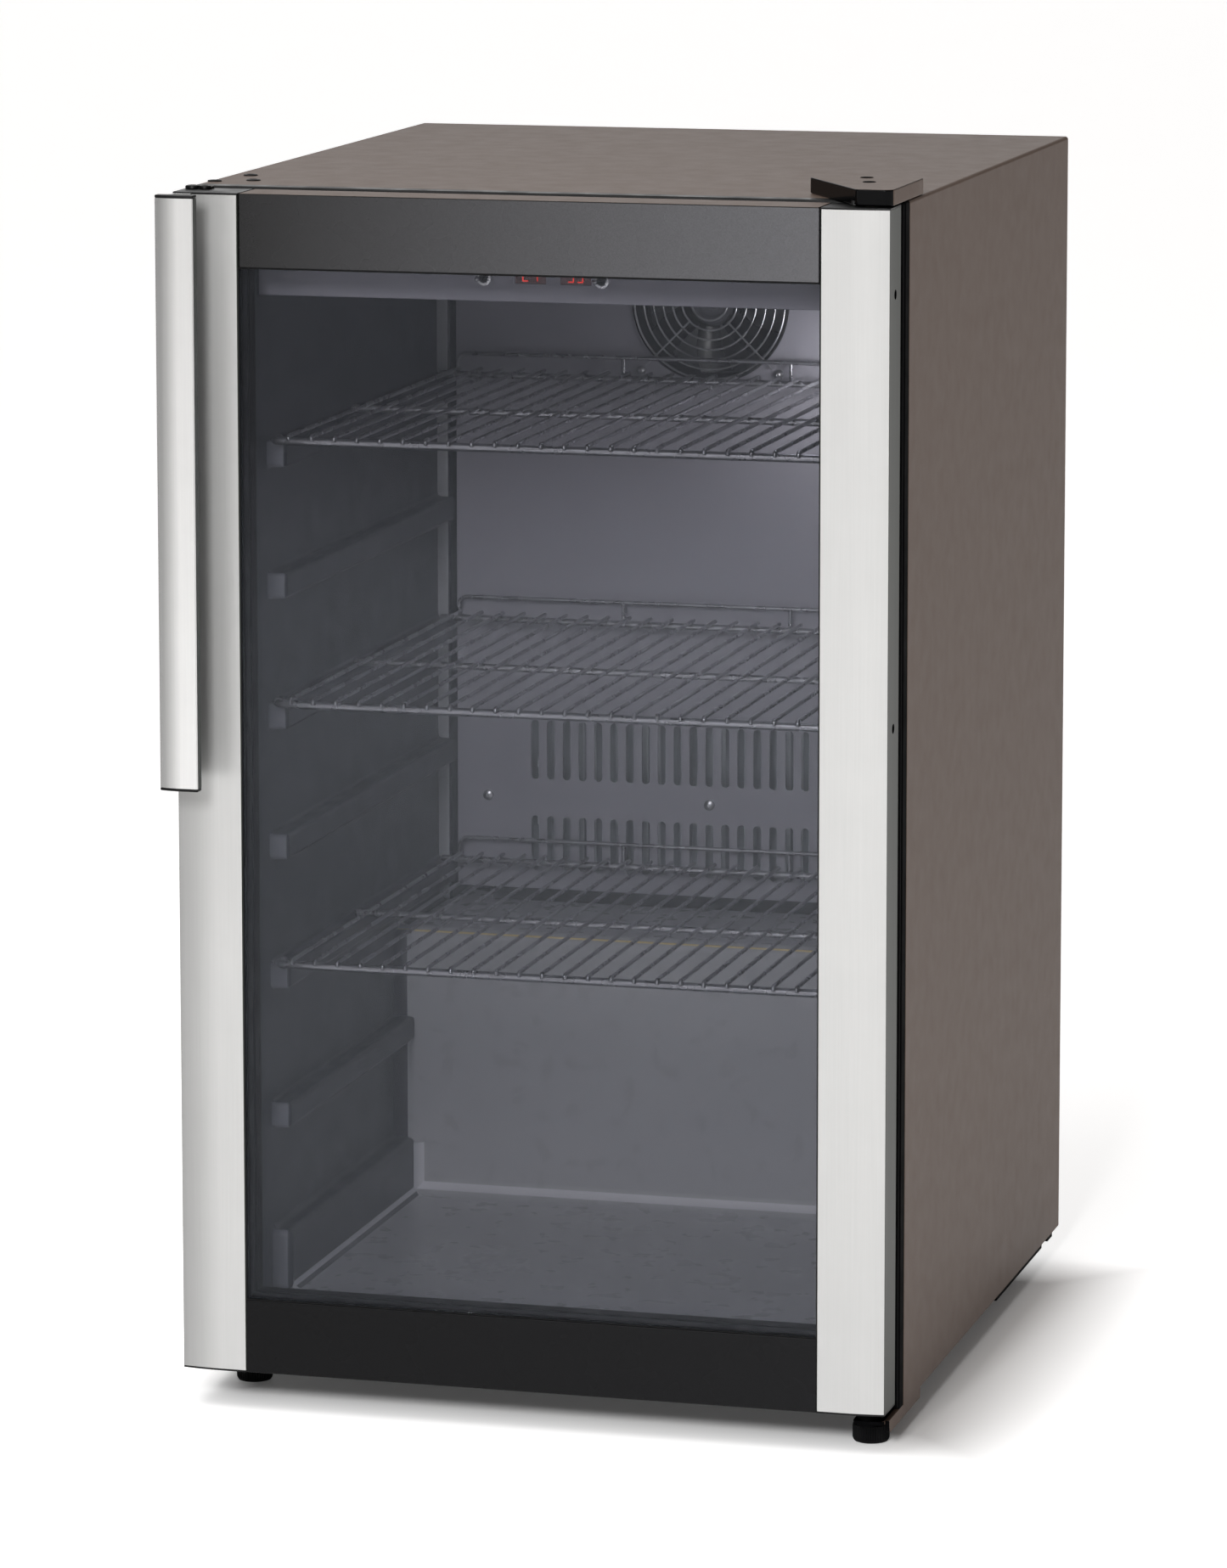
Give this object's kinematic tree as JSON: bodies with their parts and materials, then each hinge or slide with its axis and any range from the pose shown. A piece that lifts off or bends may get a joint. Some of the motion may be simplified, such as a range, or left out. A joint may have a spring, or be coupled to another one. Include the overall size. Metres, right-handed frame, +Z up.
{
  "type": "glass door merchandiser",
  "caption": "Countertop refrigerated display cabinet with one framed glass door, a side pull handle, wire shelves, fan-forced cooling and a rear compressor bay.",
  "frame": {"origin": "centre of the bounding box's base, on the floor", "axes": "+Z up, -Y towards the door and its handle, +X towards the hinge side"},
  "size_m": [0.5, 0.633, 0.8587],
  "materials": {
    "brown_paint": "satin brown-grey paint with a fine texture",
    "black_paint": "semi-matte black paint",
    "black_plastic": "matte moulded black",
    "gloss_black": "glossy moulded black",
    "foam": "rigid foam, hidden inside the walls",
    "liner_grey": "satin dark grey thermoformed sheet",
    "cover_grey": "satin grey paint",
    "fin_aluminium": "bare rolled fins",
    "fan_plastic": "matte black",
    "wire_steel": "grey plated wire",
    "circuit_board": "green laminate",
    "display_red": "red filter window",
    "plated_steel": "bright plated",
    "lamp_white": "white",
    "lamp_diffuser": "frosted",
    "rubber_black": "matte black",
    "copper_pipe": "drawn copper",
    "satin_aluminium": "satin anodised",
    "rail_black": "satin black",
    "tinted_glass": "clear float glass with a grey tint",
    "nylon_white": "natural nylon"
  },
  "bodies": {
    "cabinet": {"side_panel_left": "brown_paint", "side_panel_right": "brown_paint", "top_panel": "brown_paint", "rear_panel": "brown_paint", "base_pan": "black_paint", "base_rails": "black_plastic", "insulation": "foam", "liner_left": "liner_grey", "liner_right": "liner_grey", "liner_ceiling": "liner_grey", "liner_floor": "liner_grey", "liner_rear": "liner_grey", "front_collar": "black_plastic", "evaporator_cover": "cover_grey", "evaporator_coil": "fin_aluminium", "drain_trough": "black_plastic", "evaporator_fan_frame": "fan_plastic", "evaporator_fan_guard": "wire_steel", "control_housing": "cover_grey", "controller_board": "circuit_board", "display_windows": "display_red", "toggle_bushings": "plated_steel", "lamp_holder": "lamp_white", "lamp_lens": "lamp_diffuser", "compressor": "black_paint", "compressor_mounts": "rubber_black", "condenser_coil": "black_paint", "condenser_fan_frame": "fan_plastic", "refrigerant_pipes": "copper_pipe", "condensate_tray": "black_plastic", "rear_grille": "black_paint", "mains_inlet": "black_plastic", "top_hinge_plate": "black_paint", "top_hinge_cover": "gloss_black", "bottom_hinge_bracket": "brown_paint", "hinge_hole_plugs": "gloss_black", "cabinet_screws": "plated_steel", "rear_feet": "black_plastic"},
    "door": {"door_stile_left": "satin_aluminium", "door_stile_right": "satin_aluminium", "door_rail_top": "rail_black", "door_rail_bottom": "rail_black", "door_end_caps": "black_plastic", "outer_pane": "tinted_glass", "inner_pane": "tinted_glass", "glazing_spacer": "black_plastic", "glazing_bead": "black_plastic", "door_gasket": "rubber_black", "hinge_bushes": "nylon_white", "door_handle": "satin_aluminium", "handle_caps": "black_plastic"},
    "evaporator_rotor": {"evaporator_fan_rotor": "fan_plastic"},
    "condenser_rotor": {"condenser_fan_rotor": "fan_plastic"},
    "lever_left": {"toggle_lever_left": "plated_steel"},
    "lever_right": {"toggle_lever_right": "plated_steel"},
    "levelling_foot_left": {"foot_left": "black_plastic"},
    "levelling_foot_right": {"foot_right": "black_plastic"},
    "wire_shelf_top": {"shelf_top": "wire_steel"},
    "wire_shelf_middle": {"shelf_middle": "wire_steel"},
    "wire_shelf_bottom": {"shelf_bottom": "wire_steel"}
  },
  "joints": [
    {"name": "door_hinge", "type": "hinge", "parent": "cabinet", "child": "door", "pos_m": [0.234, -0.2575, 0.436], "axis": [0, 0, 1], "range_deg": [0, 110]},
    {"name": "evaporator_fan_spin", "type": "hinge", "parent": "cabinet", "child": "evaporator_rotor", "pos_m": [0, 0.2435, 0.7265], "axis": [0, 1, 0], "continuous": true},
    {"name": "condenser_fan_spin", "type": "hinge", "parent": "cabinet", "child": "condenser_rotor", "pos_m": [-0.115, 0.2315, 0.092], "axis": [1, 0, 0], "continuous": true},
    {"name": "light_switch", "type": "hinge", "parent": "cabinet", "child": "lever_left", "pos_m": [-0.048, -0.2065, 0.7865], "axis": [0, 0, 1], "range_deg": [0, 25]},
    {"name": "display_switch", "type": "hinge", "parent": "cabinet", "child": "lever_right", "pos_m": [0.035, -0.2065, 0.7865], "axis": [0, 0, 1], "range_deg": [0, 25]},
    {"name": "foot_left_turn", "type": "hinge", "parent": "cabinet", "child": "levelling_foot_left", "pos_m": [-0.224, -0.1935, 0.01], "axis": [0, 0, 1], "continuous": true},
    {"name": "foot_right_turn", "type": "hinge", "parent": "cabinet", "child": "levelling_foot_right", "pos_m": [0.2315, -0.2355, 0.01], "axis": [0, 0, 1], "continuous": true},
    {"name": "shelf_top_lift", "type": "slide", "parent": "cabinet", "child": "wire_shelf_top", "axis": [0, 0, 1], "range_m": [0, 0.06]},
    {"name": "shelf_middle_lift", "type": "slide", "parent": "cabinet", "child": "wire_shelf_middle", "axis": [0, 0, 1], "range_m": [0, 0.06]},
    {"name": "shelf_bottom_lift", "type": "slide", "parent": "cabinet", "child": "wire_shelf_bottom", "axis": [0, 0, 1], "range_m": [0, 0.06]}
  ]
}
